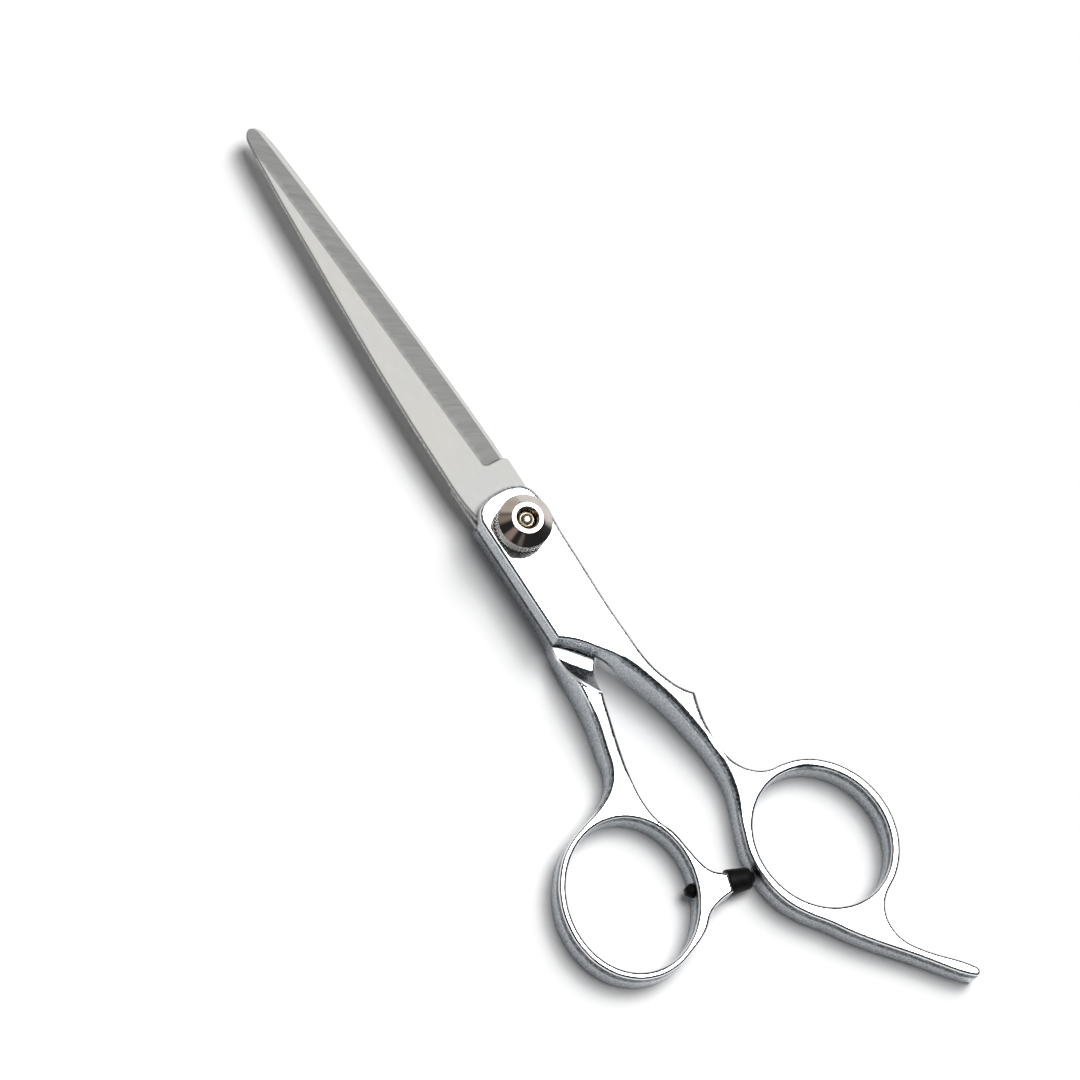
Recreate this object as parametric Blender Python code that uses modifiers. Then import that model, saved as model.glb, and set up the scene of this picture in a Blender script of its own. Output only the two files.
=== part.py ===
"""Hair cutting shears, lying flat and closed. Metres, +Z up along the pivot, +Y from the pivot to the tips.

The origin is the middle of the pivot stud's flat underside, level with the lowest faces of the shears.
The upper half (blade and handle) turns about the stud; the lower half carries the stud and the rubber bumper.
"""

import math

import bmesh
import bpy
from mathutils import Matrix, Vector

MM = 0.001

# Heights above the table, in millimetres
PARTING_Z = 4.45  # the plane the two blades slide on
RUN_GAP = 0.15  # each half stands this far off the parting plane
PLATE_TOP_Z = 8.9  # top of the upper shank plate
RING_TOP_Z = 5.5  # top of both finger rings
LOWER_NECK_Z = 7.2  # top of the lower neck beside the pivot plates
TANG_TIP_Z = 5.0

# Pivot
STUD_R = 1.75
PIVOT_CLEARANCE = 0.08
STUD_HEAD_R = 3.4
STUD_HEAD_H = 1.0
THREAD_R = 1.4
STUD_TOP_Z = 13.1
NUT_BASE_Z = 9.2
NUT_R = 4.38
NUT_SKIRT_H = 2.6
NUT_CONE_H = 1.5
NUT_FLAT_R = 2.57
NUT_MOUTH_R = 1.85
NUT_TEETH = 40
TOOTH_DEPTH = 0.28

# Blades
BLADE_T = 1.7
BLADE_TAPER = 0.0065  # loss of thickness per unit of length
BEVEL_START_Y = 11.6
BEVEL_SLOPE = 0.34
RIDGE_X = 1.25
RIDGE_DRIFT = 0.0545  # the ridge walks towards the spine by this much per unit of length
SHOULDER_Y = 4.2
BLADE_AXIS_X = 0.25  # the lower blade is the upper one turned over about this line
LOWER_BLADE_TURN = 0.35
TANG_END_Y = -14.0

# Finger rings: centre, half lengths of the oval hole, tilt of its long half in degrees, width of the bar
UPPER_RING = ((15.45, -65.25), (11.7, 10.6), 99.3, 1.5)
LOWER_RING = ((-16.3, -57.95), (12.4, 10.5), 64.8, 1.2)

# Rubber bumper
BUMPER_AT = (-5.9, -62.1)  # where its axis leaves the inside of the lower ring
BUMPER_TURN = -17.0
BUMPER_Z = 2.75
STEM_R = 0.85

EDGE_ROUND = 0.38
RAMP_R = 5.2  # radius of the hollow between the lower plate and its neck

for old in list(bpy.data.objects):
    bpy.data.objects.remove(old, do_unlink=True)

shears = bpy.data.collections.new("hair_cutting_shears")
cutters = bpy.data.collections.new("cutters")
bpy.context.scene.collection.children.link(shears)
bpy.context.scene.collection.children.link(cutters)


def material(name, colour, roughness, metallic):
    made = bpy.data.materials.new(name)
    made.use_nodes = True
    shader = made.node_tree.nodes["Principled BSDF"]
    shader.inputs["Base Color"].default_value = (*colour, 1)
    shader.inputs["Roughness"].default_value = roughness
    shader.inputs["Metallic"].default_value = metallic
    made.diffuse_color = (*colour, 1)
    return made


PLATED = material("plated_casting", (0.80, 0.82, 0.84), 0.12, 1)
PLATED_LOWER = material("plated_casting_lower", (0.79, 0.81, 0.83), 0.14, 1)
STEEL = material("ground_steel", (0.66, 0.66, 0.64), 0.32, 1)
STEEL_LOWER = material("ground_steel_lower", (0.68, 0.68, 0.66), 0.30, 1)
DARK_NICKEL = material("dark_nickel", (0.30, 0.27, 0.25), 0.16, 1)
STUD_METAL = material("stud_nickel_brass", (0.72, 0.69, 0.55), 0.25, 1)
SPRING_STEEL = material("spring_steel", (0.45, 0.45, 0.44), 0.35, 1)
NYLON = material("nylon", (0.82, 0.81, 0.76), 0.5, 0)
RUBBER = material("black_rubber", (0.012, 0.012, 0.013), 0.6, 0)


def place(mesh, name, collection=shears, mat=None, smooth=True):
    obj = bpy.data.objects.new(name, mesh)
    collection.objects.link(obj)
    if mat:
        mesh.materials.clear()
        mesh.materials.append(mat)
    if smooth:
        mesh.shade_smooth()
        mesh.set_sharp_from_angle(angle=math.radians(32))
    if collection is cutters:
        obj.hide_render = True
        obj.display_type = "WIRE"
    return obj


def slab(outline, z0, z1, rounding=0.0, holes=(), steps=5):
    """A flat slab inside a closed outline. A point with a third value is a sharp corner."""
    curve = bpy.data.curves.new("slab", "CURVE")
    curve.dimensions = "2D"
    curve.fill_mode = "BOTH"
    curve.resolution_u = steps
    curve.bevel_depth = rounding * MM
    curve.bevel_resolution = 2
    curve.offset = -rounding * MM
    curve.extrude = ((z1 - z0) / 2 - rounding) * MM
    for loop in (outline, *holes):
        spline = curve.splines.new("BEZIER")
        spline.bezier_points.add(len(loop) - 1)
        for knot, point in zip(spline.bezier_points, loop):
            knot.co = (point[0] * MM, point[1] * MM, 0)
            kind = "VECTOR" if len(point) > 2 else "AUTO"
            knot.handle_left_type = knot.handle_right_type = kind
        spline.use_cyclic_u = True
    holder = bpy.data.objects.new("slab", curve)
    cutters.objects.link(holder)
    bpy.context.view_layer.update()
    mesh = bpy.data.meshes.new_from_object(holder)
    bpy.data.objects.remove(holder, do_unlink=True)
    mesh.transform(Matrix.Translation((0, 0, (z0 + z1) / 2 * MM)))
    work = bmesh.new()
    work.from_mesh(mesh)
    bmesh.ops.remove_doubles(work, verts=work.verts, dist=0.002 * MM)
    bmesh.ops.recalc_face_normals(work, faces=work.faces)
    work.to_mesh(mesh)
    work.free()
    return mesh


def slice_at(mesh, stations):
    """Adds an edge loop across the mesh at each of these values of y."""
    work = bmesh.new()
    work.from_mesh(mesh)
    for y in stations:
        everything = work.verts[:] + work.edges[:] + work.faces[:]
        bmesh.ops.bisect_plane(
            work, geom=everything, dist=0.001 * MM, plane_co=(0, y * MM, 0), plane_no=(0, 1, 0)
        )
    bmesh.ops.triangulate(work, faces=work.faces)
    work.to_mesh(mesh)
    work.free()


def ease(value, start, end):
    """0 at start, 1 at end, level at both."""
    t = min(1, max(0, (value - start) / (end - start)))
    return t * t * (3 - 2 * t)


def reshape(mesh, low, high, bottom, top, rounding):
    """Moves the slab's two faces to bottom(x, y) and top(x, y), and keeps its rounded rims their own size."""
    middle = (low + high) / 2
    for vertex in mesh.vertices:
        x, y, z = vertex.co / MM
        if z > middle:
            z = max(top(x, y) - (high - z), middle if top(x, y) > middle + rounding else z - 99)
        else:
            z = bottom(x, y) + (z - low)
        vertex.co.z = z * MM


def oval(ring, extra, start=0, end=360, count=28):
    """Points on a ring's hole, or on the same oval grown by extra, between two angles of its own."""
    (cx, cy), (a, b), tilt, _ = ring
    turn = math.radians(tilt)
    closed = end - start == 360
    points = []
    for i in range(count):
        t = math.radians(start + (end - start) * i / (count if closed else count - 1))
        u = (a + extra) * math.cos(t)
        v = (b + extra) * math.sin(t)
        points.append(
            (cx + u * math.cos(turn) - v * math.sin(turn), cy + u * math.sin(turn) + v * math.cos(turn))
        )
    return points


def screw_solid(name, profile, segments, collection=shears, mat=None):
    """A turned solid. The profile lists (radius, height) and runs down its outer side."""
    mesh = bpy.data.meshes.new(name)
    points = [(r * MM, 0, z * MM) for r, z in profile]
    closed = profile[0][0] > 0
    edges = [(i, i + 1) for i in range(len(points) - 1)]
    if closed:
        edges.append((len(points) - 1, 0))
    mesh.from_pydata(points, edges, [])
    obj = place(mesh, name, collection, mat, smooth=False)
    turned = obj.modifiers.new("turn", "SCREW")
    turned.angle = math.tau
    turned.steps = turned.render_steps = segments
    turned.use_merge_vertices = True
    turned.merge_threshold = 0.000001
    turned.use_smooth_shade = True
    return obj


def baked(obj):
    """The object with its modifiers applied."""
    bpy.context.view_layer.update()
    mesh = bpy.data.meshes.new_from_object(obj.evaluated_get(bpy.context.evaluated_depsgraph_get()))
    work = bmesh.new()
    work.from_mesh(mesh)
    bmesh.ops.remove_doubles(work, verts=work.verts, dist=0.0005 * MM)
    bmesh.ops.recalc_face_normals(work, faces=work.faces)
    work.to_mesh(mesh)
    work.free()
    obj.modifiers.clear()
    obj.data = mesh
    return obj


def combine(obj, other, operation):
    """A Boolean of the object with a helper, which joins the cutters."""
    step = obj.modifiers.new(operation.lower(), "BOOLEAN")
    step.operation = operation
    step.solver = "EXACT"
    step.object = other
    return baked(obj)


def cylinder(name, radius, z0, z1, x=0.0, y=0.0, segments=48):
    work = bmesh.new()
    bmesh.ops.create_cone(
        work, cap_ends=True, segments=segments, radius1=radius * MM, radius2=radius * MM, depth=(z1 - z0) * MM
    )
    bmesh.ops.translate(work, verts=work.verts, vec=(x * MM, y * MM, (z0 + z1) / 2 * MM))
    mesh = bpy.data.meshes.new(name)
    work.to_mesh(mesh)
    work.free()
    return place(mesh, name, cutters, smooth=False)


def block(name, low, high):
    work = bmesh.new()
    bmesh.ops.create_cube(work, size=1)
    size = [(h - l) * MM for l, h in zip(low, high)]
    middle = [(h + l) / 2 * MM for l, h in zip(low, high)]
    bmesh.ops.scale(work, verts=work.verts, vec=size)
    bmesh.ops.translate(work, verts=work.verts, vec=middle)
    mesh = bpy.data.meshes.new(name)
    work.to_mesh(mesh)
    work.free()
    return place(mesh, name, cutters, smooth=False)


def turn_over(mesh, axis_x, angle):
    """Turns a mesh of the upper half over about a line in the parting plane, for the lower half."""
    up = Matrix.Translation((axis_x * MM, 0, PARTING_Z * MM))
    over = up @ Matrix.Rotation(math.pi, 4, "Y") @ up.inverted()
    mesh.transform(Matrix.Rotation(math.radians(angle), 4, "Z") @ over)


# ---------------------------------------------------------------- blades

SPINE = [(-4.72, 8.5), (-4.8, 16), (-4.62, 28), (-4.05, 41), (-3.25, 55), (-2.4, 68.5), (-1.75, 74.6)]
TIP = [(-1.3, 76.3), (-0.35, 77.1), (0.55, 76.5)]
EDGE = [(1.0, 74.8), (1.55, 69.5), (2.5, 57), (3.75, 42), (4.75, 27), (5.15, 14)]
RICASSO = [(5.42, 10.7, 1), (5.42, SHOULDER_Y, 1), (3.9, SHOULDER_Y, 1)]
TANG = [(3.9, TANG_END_Y + 1.2, 1), (2.7, TANG_END_Y, 1), (-2.5, TANG_END_Y, 1), (-3.7, TANG_END_Y + 1.2, 1)]
HEEL = [(-3.7, SHOULDER_Y + 0.15, 1), (-4.3, SHOULDER_Y + 1.1, 1)]


def bevel_z(x, y):
    """Height of the ground bevel's plane."""
    ridge = RIDGE_X - RIDGE_DRIFT * (y - BEVEL_START_Y)
    top = PARTING_Z + RUN_GAP + BLADE_T - BLADE_TAPER * (y - BEVEL_START_Y)
    return top - BEVEL_SLOPE * (x - ridge)


def blade(name, mat):
    low = PARTING_Z + RUN_GAP
    mesh = slab(SPINE + TIP + EDGE + RICASSO + TANG + HEEL, low, low + BLADE_T, steps=6)
    slice_at(mesh, [BEVEL_START_Y, 30, 50, 66, 73])
    for vertex in mesh.vertices:
        if vertex.co.z > (low + BLADE_T / 2) * MM:
            vertex.co.z -= BLADE_TAPER * max(0, vertex.co.y - BEVEL_START_Y * MM)
    obj = place(mesh, name, shears, mat)
    far = 82
    plan = [
        (RIDGE_X + 0.5, BEVEL_START_Y - 0.1),
        (8, BEVEL_START_Y - 1.2),
        (6, far),
        (RIDGE_X - RIDGE_DRIFT * (far - BEVEL_START_Y), far),
        (RIDGE_X - RIDGE_DRIFT * 0.7, BEVEL_START_Y + 0.7),
        (RIDGE_X + 0.12, BEVEL_START_Y + 0.15),
    ]
    grind = bpy.data.meshes.new(name + "_grind")
    count = len(plan)
    points = [Vector((x, y, bevel_z(x, y))) * MM for x, y in plan]
    points += [Vector((x, y, 12)) * MM for x, y in plan]
    sides = [(i, (i + 1) % count, (i + 1) % count + count, i + count) for i in range(count)]
    grind.from_pydata(points, [], [tuple(reversed(range(count))), tuple(range(count, 2 * count)), *sides])
    combine(obj, place(grind, name + "_grind", cutters, smooth=False), "DIFFERENCE")
    return obj


upper_blade = blade("upper_blade", STEEL)
lower_blade = blade("lower_blade", STEEL_LOWER)
turn_over(lower_blade.data, BLADE_AXIS_X, LOWER_BLADE_TURN)
for half in (upper_blade, lower_blade):
    combine(half, cylinder(half.name + "_bore", STUD_R + PIVOT_CLEARANCE, 0, 12), "DIFFERENCE")
    seat = cylinder(half.name + "_seat", 3.3, PARTING_Z - 0.5, PARTING_Z + 0.5)
    combine(half, seat, "DIFFERENCE")

# ---------------------------------------------------------------- upper handle

UPPER_OUTLINE = [
    (-5.1, 3.7, 1), (-4.4, 5.2), (-2.9, 6.3), (-0.2, 6.85), (2.9, 6.4), (4.6, 5.3), (5.45, 3.3),
    (5.5, -5), (5.5, -22.5), (6.1, -28.8), (7.4, -32.3), (8.7, -34.5), (10.0, -35.9, 1),
    (9.35, -38.4), (8.95, -41.7), (9.05, -45.2), (10.0, -48.4), (11.8, -50.7), (14.1, -51.9),
    *oval(UPPER_RING, UPPER_RING[3], -14, -152, 9),
    (18.7, -78.7), (17.5, -80.6), (17.1, -82.9), (17.6, -85.4), (19.2, -87.9), (25.1, -94.3),
    (25.7, -95.5), (25.1, -96.2), (24.1, -95.7), (18.1, -88.9), (11.2, -80.9), (8.9, -77.6), (6.1, -74.0),
    (4.3, -70.6), (3.45, -66.4), (3.6, -62.0), (4.85, -58.1), (7.2, -52.1), (7.8, -48.8), (7.7, -44.9),
    (7.0, -40.3), (5.95, -35.5), (4.4, -30.9), (2.8, -27.0), (1.4, -24.6), (-0.2, -22.6), (-2.2, -20.2),
    (-3.7, -18.9), (-5.0, -18.0, 1),
]


def upper_top(x, y):
    arm = PLATE_TOP_Z + (RING_TOP_Z - PLATE_TOP_Z) * ease(-y, 22, 58)
    return arm - (RING_TOP_Z - TANG_TIP_Z) * ease(-y, 80, 96)


def upper_bottom(x, y):
    plate = PARTING_Z + RUN_GAP
    return plate + (0.9 - plate) * ease(-y, 22.5, 29) - 0.9 * ease(-y, 29, 50) + 0.5 * ease(-y, 80, 96)


plate_low = PARTING_Z + RUN_GAP
body = slab(UPPER_OUTLINE, plate_low, PLATE_TOP_Z, EDGE_ROUND, [oval(UPPER_RING, 0)])
slice_at(body, [-14, -18, *range(-60, -21, 2), -80, -85, -90])
reshape(body, plate_low, PLATE_TOP_Z, upper_bottom, upper_top, EDGE_ROUND)
upper_handle = place(body, "upper_handle", shears, PLATED)
pocket_top = plate_low + BLADE_T + 0.3
mouth = block("upper_mouth", (-9, SHOULDER_Y - 0.3, 3), (9, 9, pocket_top))
combine(upper_handle, mouth, "DIFFERENCE")
pocket = block("upper_pocket", (-4.0, TANG_END_Y - 0.3, 3), (4.2, SHOULDER_Y + 1, pocket_top))
combine(upper_handle, pocket, "DIFFERENCE")
combine(upper_handle, cylinder("upper_bore", STUD_R + PIVOT_CLEARANCE, 0, 12), "DIFFERENCE")

# ---------------------------------------------------------------- lower handle

LOWER_OUTLINE = [
    (-4.3, 3.7, 1), (-3.7, 5.1), (-2.4, 6.2), (0.3, 6.8), (3.2, 6.2), (4.5, 5.1), (5.2, 3.2),
    (5.25, -5), (5.1, -13.5), (4.0, -18.2), (1.9, -21.4), (-0.3, -23.9), (-2.7, -28.5), (-3.85, -32.6),
    (-5.0, -37.4), (-5.95, -42.2), (-6.4, -46.2), (-6.0, -50.0), (-4.9, -52.7), (-4.35, -56.2), (-3.9, -58.9),
    (-3.1, -60.6), (-1.45, -62.35, 1), (-2.35, -65.3, 1), (-4.6, -65.6), (-6.9, -66.6), (-9.2, -68.5),
    *oval(LOWER_RING, LOWER_RING[3], 225, 52, 10),
    (-12.3, -43.2), (-9.9, -41.7), (-8.3, -39.7), (-7.3, -36.2), (-6.2, -31.4), (-5.6, -26.8), (-5.35, -23),
    (-5.0, -19.2), (-4.4, -16), (-4.25, -8),
]
LUG_HALF = 1.95


def lower_top(x, y):
    neck = LOWER_NECK_Z + (RING_TOP_Z - LOWER_NECK_Z) * ease(-y, 29, 37)
    lug = ease(x, -5.2, -2.0) * ease(y, -68, -66) * ease(-y, 58.5, 60.5)
    return neck + (BUMPER_Z + LUG_HALF - neck) * lug


def lower_bottom(x, y):
    lug = ease(x, -5.2, -2.0) * ease(y, -68, -66) * ease(-y, 58.5, 60.5)
    return (BUMPER_Z - LUG_HALF) * lug


plate_high = PARTING_Z - RUN_GAP
body = slab(LOWER_OUTLINE, 0, LOWER_NECK_Z, EDGE_ROUND, [oval(LOWER_RING, 0)])
slice_at(body, [-27, -28.5, *range(-38, -28, 1), -59, -61, -63, -65, -67])
reshape(body, 0, LOWER_NECK_Z, lower_bottom, lower_top, EDGE_ROUND)
lower_handle = place(body, "lower_handle", shears, PLATED_LOWER)

# The plate is cut down to the parting plane, and a hollow ramp joins it to the neck.
arch = [
    (9, 12, 1), (-9, 12, 1), (-9, -18.2, 1), (-5.0, -18.4, 1), (-3.5, -19.3), (-2.0, -20.6), (0.0, -22.9),
    (1.2, -24.8), (2.6, -27.2), (9, -32, 1),
]
shelf = place(slab(arch, plate_high, 12), "lower_shelf", cutters, smooth=False)
combine(lower_handle, shelf, "DIFFERENCE")
across = Vector((0.62, 0.785, 0)).normalized()
foot = Vector((-3.95, -27.0, 0)) + across * 4.35
roller = cylinder("lower_ramp", RAMP_R, -20, 20, segments=96)
tip = Matrix.Rotation(math.pi / 2, 4, "X")
swing = Matrix.Rotation(math.atan2(across.y, across.x), 4, "Z")
roller.data.transform(Matrix.Translation(Vector((foot.x, foot.y, plate_high + RAMP_R)) * MM) @ swing @ tip)
combine(lower_handle, roller, "DIFFERENCE")

pocket_floor = plate_high - BLADE_T - 0.3
mouth = block("lower_mouth", (-9, SHOULDER_Y - 0.35, pocket_floor), (9, 9, 9))
combine(lower_handle, mouth, "DIFFERENCE")
pocket = block("lower_pocket", (-3.8, TANG_END_Y - 0.35, pocket_floor), (4.6, SHOULDER_Y + 1, 9))
combine(lower_handle, pocket, "DIFFERENCE")
combine(lower_handle, cylinder("lower_bore", STUD_R + PIVOT_CLEARANCE, -1, 12), "DIFFERENCE")
combine(lower_handle, cylinder("head_seat", STUD_HEAD_R + 0.2, -1, STUD_HEAD_H + 0.15), "DIFFERENCE")

along = Matrix.Rotation(math.radians(BUMPER_TURN), 4, "Z") @ Matrix.Rotation(math.pi / 2, 4, "Y")
along = Matrix.Translation(Vector((*BUMPER_AT, BUMPER_Z)) * MM) @ along
drill = cylinder("stem_hole", STEM_R + 0.25, -3, 8, segments=32)
drill.data.transform(along)
combine(lower_handle, drill, "DIFFERENCE")

# ---------------------------------------------------------------- pivot

stud = screw_solid(
    "pivot_stud",
    [
        (0, STUD_TOP_Z), (0.7, STUD_TOP_Z - 0.12), (1.15, STUD_TOP_Z - 0.42), (THREAD_R, STUD_TOP_Z - 0.75),
        (THREAD_R, PLATE_TOP_Z + 0.1), (STUD_R, PLATE_TOP_Z - 0.2), (STUD_R, STUD_HEAD_H),
        (STUD_HEAD_R, STUD_HEAD_H), (STUD_HEAD_R, 0.25), (STUD_HEAD_R - 0.25, 0), (0, 0),
    ],
    48, shears, STUD_METAL,
)
baked(stud)

cone_z = NUT_BASE_Z + NUT_SKIRT_H
nut = screw_solid(
    "tension_nut",
    [
        (NUT_MOUTH_R, cone_z + NUT_CONE_H), (NUT_FLAT_R, cone_z + NUT_CONE_H), (NUT_R, cone_z),
        (NUT_R - TOOTH_DEPTH, cone_z - 0.12), (NUT_R - TOOTH_DEPTH, NUT_BASE_Z + 0.1),
        (NUT_R - TOOTH_DEPTH - 0.15, NUT_BASE_Z), (3.7, NUT_BASE_Z), (3.7, NUT_BASE_Z + 0.7),
        (THREAD_R + 0.2, NUT_BASE_Z + 0.7), (THREAD_R + 0.2, cone_z + NUT_CONE_H - 0.6),
        (NUT_MOUTH_R, cone_z + NUT_CONE_H - 0.35),
    ],
    NUT_TEETH * 2, shears, DARK_NICKEL,
)
baked(nut)
teeth = bpy.data.meshes.new("nut_teeth")
rim = []
for level in (NUT_BASE_Z + 0.15, cone_z - 0.06):
    for i in range(NUT_TEETH * 2):
        r = NUT_R - 0.02 - (TOOTH_DEPTH - 0.06) * (i % 2)
        a = math.pi * i / NUT_TEETH
        rim.append((r * math.cos(a) * MM, r * math.sin(a) * MM, level * MM))
for level in (NUT_BASE_Z + 0.15, cone_z - 0.06):
    for i in range(NUT_TEETH * 2):
        a = math.pi * i / NUT_TEETH
        rim.append((3.9 * math.cos(a) * MM, 3.9 * math.sin(a) * MM, level * MM))
n = NUT_TEETH * 2
quads = []
for i in range(n):
    j = (i + 1) % n
    quads += [(i, j, j + n, i + n), (j + 2 * n, i + 2 * n, i + 3 * n, j + 3 * n)]
    quads += [(j, i, i + 2 * n, j + 2 * n), (i + n, j + n, j + 3 * n, i + 3 * n)]
teeth.from_pydata(rim, [], quads)
combine(nut, place(teeth, "nut_teeth", cutters, smooth=False), "UNION")

washer = screw_solid(
    "wave_washer",
    [(2.0, NUT_BASE_Z + 0.27), (3.4, NUT_BASE_Z + 0.27), (3.4, NUT_BASE_Z - 0.08), (2.0, NUT_BASE_Z - 0.08)],
    60, shears, SPRING_STEEL,
)
baked(washer)
for vertex in washer.data.vertices:
    vertex.co.z += 0.08 * MM * math.cos(3 * math.atan2(vertex.co.y, vertex.co.x))

disc = screw_solid(
    "friction_washer",
    [
        (STUD_R + 0.15, PARTING_Z + 0.25), (3.05, PARTING_Z + 0.25),
        (3.05, PARTING_Z - 0.25), (STUD_R + 0.15, PARTING_Z - 0.25),
    ],
    48, shears, NYLON,
)
baked(disc)

# ---------------------------------------------------------------- bumper

bumper = screw_solid(
    "rubber_bumper",
    [
        (0, 8.75), (0.8, 8.72), (1.3, 8.55), (1.55, 8.2), (1.9, 4.8), (1.8, 4.65), (STEM_R, 4.65),
        (STEM_R, -0.75), (1.15, -0.8), (1.0, -1.9), (0.7, -2.05), (0, -2.05),
    ],
    32, shears, RUBBER,
)
baked(bumper).data.transform(along)

# ---------------------------------------------------------------- rigging

for obj in shears.objects:
    obj.data.shade_smooth()
    obj.data.set_sharp_from_angle(angle=math.radians(28))

hinge = bpy.data.objects.new("shears_pivot", None)
hinge.empty_display_size = 0.01
shears.objects.link(hinge)
for name in ("upper_blade", "upper_handle"):
    bpy.data.objects[name].parent = hinge
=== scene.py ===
"""Looks of the hair cutting shears: finely rounded castings, ground blades, knurled nut and rubber bumper.

Every piece is built in the frame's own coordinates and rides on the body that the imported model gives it.
Lengths below are in millimetres, and MM turns them into metres.
"""

import math

import bmesh
import bpy
import numpy as np
from mathutils import Matrix, Vector, geometry


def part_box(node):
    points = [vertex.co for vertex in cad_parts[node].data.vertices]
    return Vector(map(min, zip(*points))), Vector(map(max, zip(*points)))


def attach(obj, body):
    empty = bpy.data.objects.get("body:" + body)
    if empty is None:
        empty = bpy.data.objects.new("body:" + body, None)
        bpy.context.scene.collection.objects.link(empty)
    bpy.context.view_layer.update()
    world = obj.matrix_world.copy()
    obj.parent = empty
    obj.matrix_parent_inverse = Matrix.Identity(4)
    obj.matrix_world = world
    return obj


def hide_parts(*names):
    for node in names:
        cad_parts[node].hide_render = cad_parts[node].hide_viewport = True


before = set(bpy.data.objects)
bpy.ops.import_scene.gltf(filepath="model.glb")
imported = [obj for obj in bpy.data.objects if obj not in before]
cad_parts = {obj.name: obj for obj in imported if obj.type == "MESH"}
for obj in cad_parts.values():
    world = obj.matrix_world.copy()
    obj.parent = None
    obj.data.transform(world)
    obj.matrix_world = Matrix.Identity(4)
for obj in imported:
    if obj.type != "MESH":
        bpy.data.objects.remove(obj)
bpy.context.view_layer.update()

MM = 0.001


def add_object(name, data):
    """A new object in the scene."""
    obj = bpy.data.objects.new(name, data)
    bpy.context.scene.collection.objects.link(obj)
    return obj


def span(node):
    """Lowest and highest corner of a node, in millimetres."""
    low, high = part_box(node)
    return low / MM, high / MM


# Heights read from the frame
PLATE_TOP = span("upper_handle")[1].z
NECK_TOP = span("lower_handle")[1].z
BLADE_UNDER, BLADE_TOP = (corner.z for corner in span("upper_blade"))
LOWER_UNDER, LOWER_TOP = (corner.z for corner in span("lower_blade"))
PARTING = (BLADE_UNDER + LOWER_TOP) / 2
NUT_LOW, NUT_HIGH = span("tension_nut")
STUD_LOW, STUD_HIGH = span("pivot_stud")

# Shared by both handles
PROUD = 0.03  # the plates stand this far proud of the tangs set into them
RING_TOP = 5.5
BORE_R = 1.83

# Fineness of the meshes
SPACING = 0.42  # distance between outline points
BORE_SPACING = 0.35
ARC_STEPS = 9  # facets in a rounded rim
PITCH = 1.3  # distance between the points inside a face
LEDGE = 0.04  # narrow ring of face between a rounded rim and the points inside
SLIVER = 2e-4  # twice the area below which a triangle is dropped
WELD = 0.0008  # points closer than this are joined
KEEP_OFF = 0.45  # points inside a face stay this share of the pitch away from its outline


# ---------------- outlines


def ease(value, start, end):
    """0 at start, 1 at end, level at both."""
    t = min(1, max(0, (value - start) / (end - start)))
    return t * t * (3 - 2 * t)


def length_along(line):
    """Distance of each point of a line from its start, measured along the line."""
    return np.concatenate([[0], np.cumsum(np.linalg.norm(np.diff(line, axis=0), axis=1))])


def trace(knots, spacing=SPACING):
    """Evenly spaced points along a closed smooth curve. A knot with a third value is a sharp corner."""
    curve = bpy.data.curves.new("trace", "CURVE")
    curve.dimensions = "3D"
    curve.resolution_u = 16
    spline = curve.splines.new("BEZIER")
    spline.bezier_points.add(len(knots) - 1)
    for knot, point in zip(spline.bezier_points, knots):
        knot.co = (point[0], point[1], 0)
        kind = "VECTOR" if len(point) > 2 else "AUTO"
        knot.handle_left_type = knot.handle_right_type = kind
    spline.use_cyclic_u = True
    holder = add_object("trace", curve)
    bpy.context.view_layer.update()
    mesh = bpy.data.meshes.new_from_object(holder)
    dense = np.array([v.co[:2] for v in mesh.vertices])
    bpy.data.objects.remove(holder, do_unlink=True)
    per_knot = len(dense) // len(knots)
    corners = [i * per_knot for i, k in enumerate(knots) if len(k) > 2] or [0]
    dense = np.vstack([dense, dense[: corners[0] + 1]])
    marks = corners + [len(dense) - 1]
    out = []
    for start, end in zip(marks[:-1], marks[1:]):
        run = dense[start : end + 1]
        along = length_along(run)
        count = max(2, round(along[-1] / spacing))
        at = np.linspace(0, along[-1], count + 1)[:-1]
        out.append(np.stack([np.interp(at, along, run[:, 0]), np.interp(at, along, run[:, 1])], 1))
    return np.vstack(out)


def oval(ring, extra, start=0, end=360, count=28):
    """Points on a ring's hole, or on the same oval grown by extra, between two angles of its own."""
    (cx, cy), (a, b), tilt, _ = ring
    turn = math.radians(tilt)
    closed = end - start == 360
    points = []
    for i in range(count):
        t = math.radians(start + (end - start) * i / (count if closed else count - 1))
        u = (a + extra) * math.cos(t)
        v = (b + extra) * math.sin(t)
        x = cx + u * math.cos(turn) - v * math.sin(turn)
        y = cy + u * math.sin(turn) + v * math.cos(turn)
        points.append((x, y))
    return points


def bore(sides=64):
    """Outline of the hole for the pivot stud."""
    angles = [math.tau * i / sides for i in range(sides)]
    return trace([(BORE_R * math.cos(a), BORE_R * math.sin(a)) for a in angles], BORE_SPACING)


def wound(loop, anticlockwise):
    """The loop, reversed if it doesn't run the way that is asked for."""
    area = np.sum(loop[:, 0] * np.roll(loop[:, 1], -1) - np.roll(loop[:, 0], -1) * loop[:, 1])
    return loop if (area > 0) == anticlockwise else loop[::-1]


def inward(loop):
    """At each point of a loop, the step into the material that moves both of its edges by one unit."""
    edge = np.roll(loop, -1, axis=0) - loop
    edge /= np.linalg.norm(edge, axis=1)[:, None]
    left = np.stack([-edge[:, 1], edge[:, 0]], 1)
    mean = left + np.roll(left, 1, axis=0)
    mean /= np.linalg.norm(mean, axis=1)[:, None]
    lean = np.clip((mean * left).sum(1), 0.6, 1)
    return mean / lean[:, None]


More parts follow.
